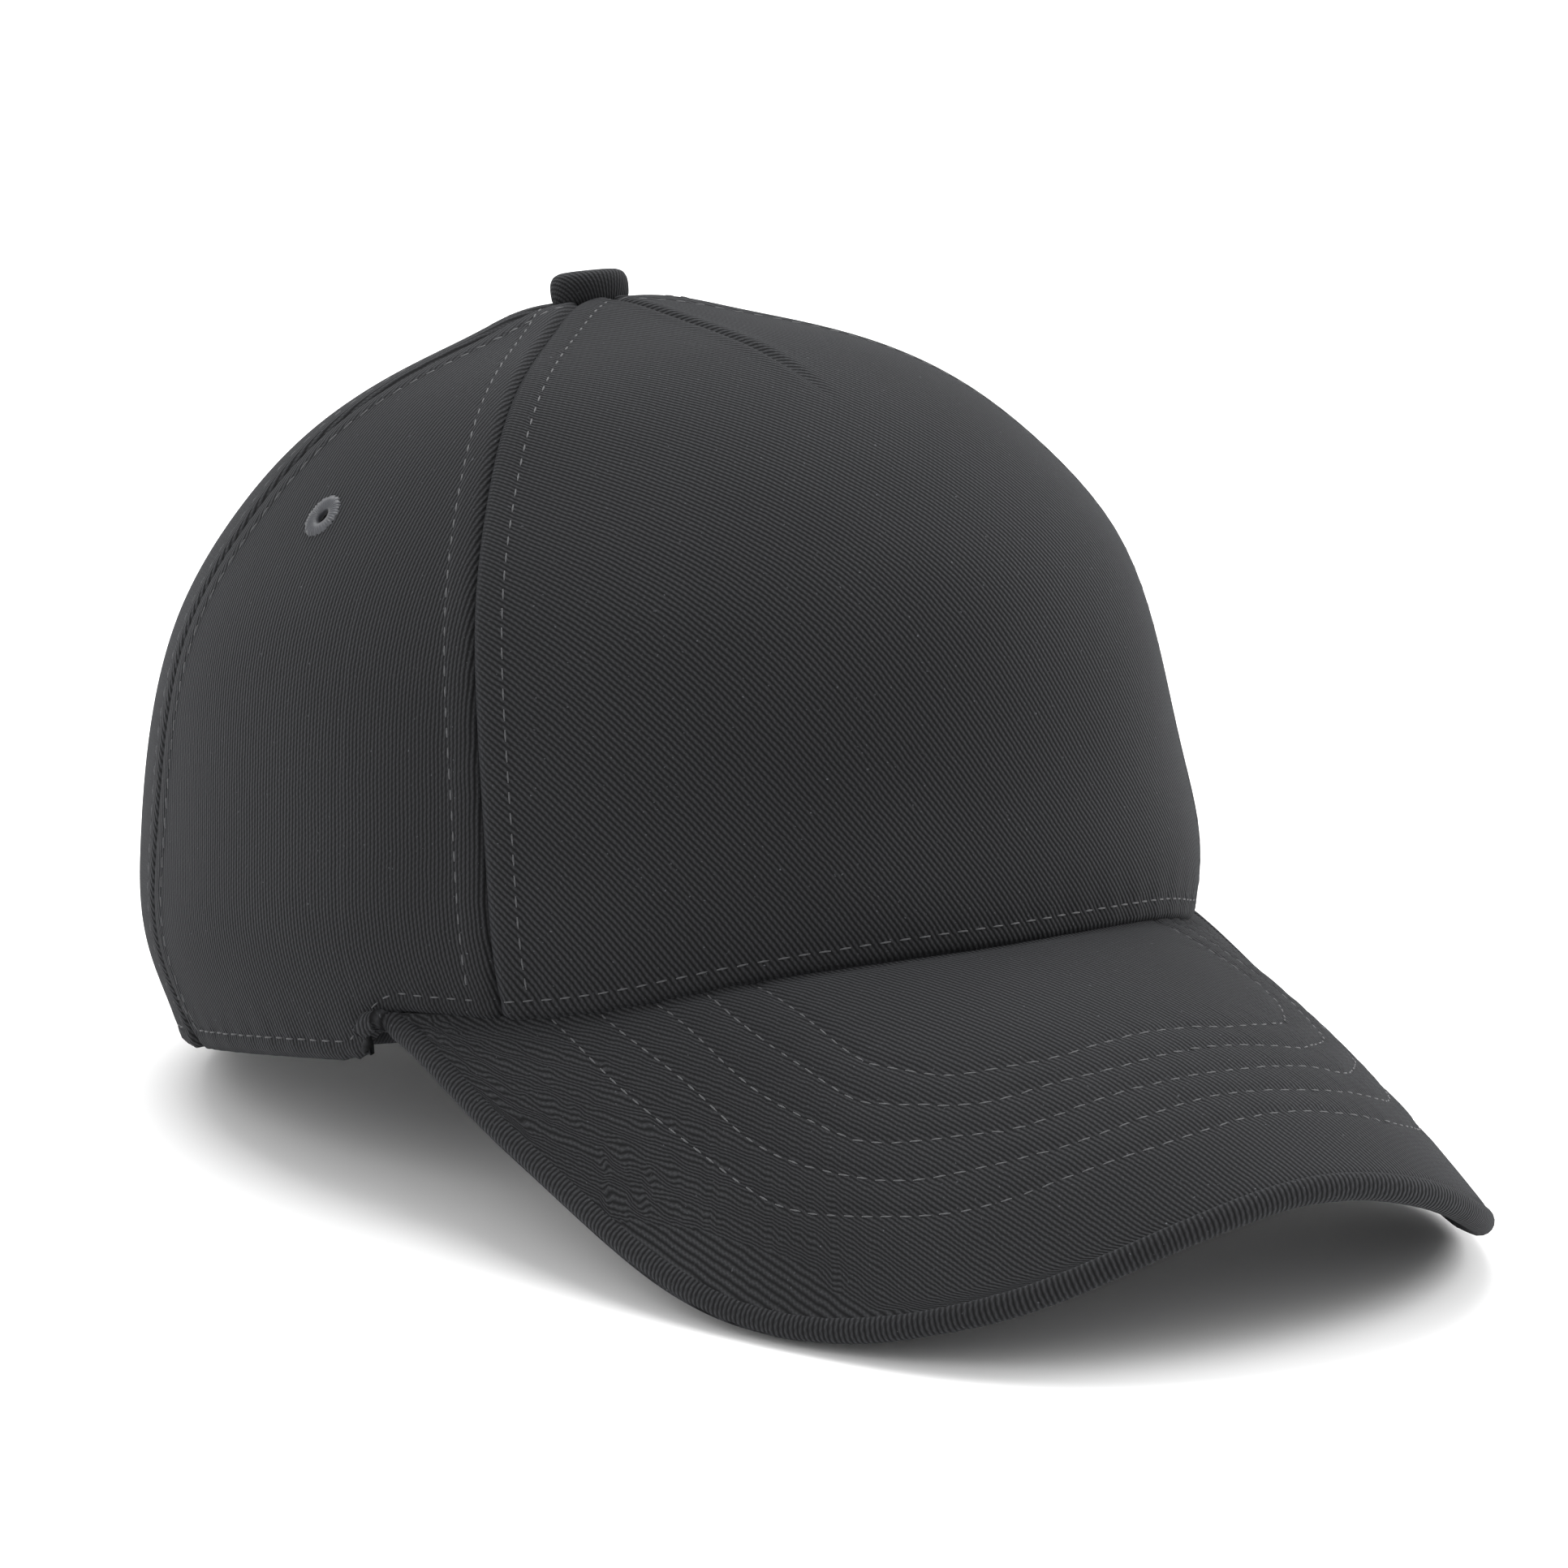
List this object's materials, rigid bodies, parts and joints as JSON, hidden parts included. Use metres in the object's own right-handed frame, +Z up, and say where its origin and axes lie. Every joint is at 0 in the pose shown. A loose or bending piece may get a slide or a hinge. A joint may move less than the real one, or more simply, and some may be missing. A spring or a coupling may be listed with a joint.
{
  "type": "baseball cap",
  "caption": "Five-panel structured baseball cap with a pre-curved stitched peak, covered top button, stitched eyelets, sweatband and an adjustable strap with a metal clasp.",
  "frame": {"origin": "middle of the cap's bounding box at the surface it rests on, cap standing on the two sides of its peak and its rear rim", "axes": "+Z up; +Y to the back of the head, so the peak points to -Y; +X to the wearer's left. The rim plane leans back 10.4 degrees"},
  "size_m": [0.1712, 0.2962, 0.1422],
  "materials": {
    "crown_twill": "charcoal-black cotton twill, fine diagonal rib, soft matt sheen",
    "peak_twill": "charcoal-black cotton twill over a stiff board, ribs across",
    "strap_twill": "self-fabric twill, folded and edge stitched",
    "peak_board_plastic": "translucent white polyethylene sheet, bent to a curve",
    "buckram": "stiffened open-weave cotton, off-white",
    "seam_tape": "plain black cotton tape",
    "sweatband_cotton": "black brushed cotton band",
    "eyelet_thread": "satin embroidery thread, a little lighter and bluer than the cloth",
    "button_aluminium": "plain pressed aluminium",
    "buckle_metal": "antiqued steel, worn a little at the edges",
    "label_satin": "blank woven satin label"
  },
  "bodies": {
    "crown": {"back_arch_tape": "seam_tape", "back_panel_left": "crown_twill", "back_panel_right": "crown_twill", "buckle_frame": "buckle_metal", "buckle_pin": "buckle_metal", "buckle_tab": "strap_twill", "button_cover": "strap_twill", "button_shell": "button_aluminium", "button_tack": "button_aluminium", "eyelet_back_left": "eyelet_thread", "eyelet_back_right": "eyelet_thread", "eyelet_side_left": "eyelet_thread", "eyelet_side_right": "eyelet_thread", "front_panel": "crown_twill", "front_stiffener": "buckram", "peak_board": "peak_board_plastic", "peak_top_cover": "peak_twill", "peak_under_cover": "peak_twill", "seam_tape_back_left": "seam_tape", "seam_tape_back_right": "seam_tape", "seam_tape_centre_back": "seam_tape", "seam_tape_dart": "seam_tape", "seam_tape_front_left": "seam_tape", "seam_tape_front_right": "seam_tape", "side_panel_left": "crown_twill", "side_panel_right": "crown_twill", "size_label": "label_satin", "sweatband": "sweatband_cotton", "sweatband_interlining": "buckram"},
    "strap": {"adjuster_strap": "strap_twill"},
    "clasp_lever": {"buckle_lever": "buckle_metal"}
  },
  "joints": [
    {"name": "strap_travel", "type": "hinge", "parent": "crown", "child": "strap", "pos_m": [0, 0.07214, 0.02849], "axis": [0, -0.1812, -0.9834], "range_deg": [-5, 8]},
    {"name": "clasp_lever_hinge", "type": "hinge", "parent": "crown", "child": "clasp_lever", "pos_m": [0.01054, 0.14305, 0.01509], "axis": [0.0354, 0.3095, 0.9502], "range_deg": [0, 100]}
  ]
}
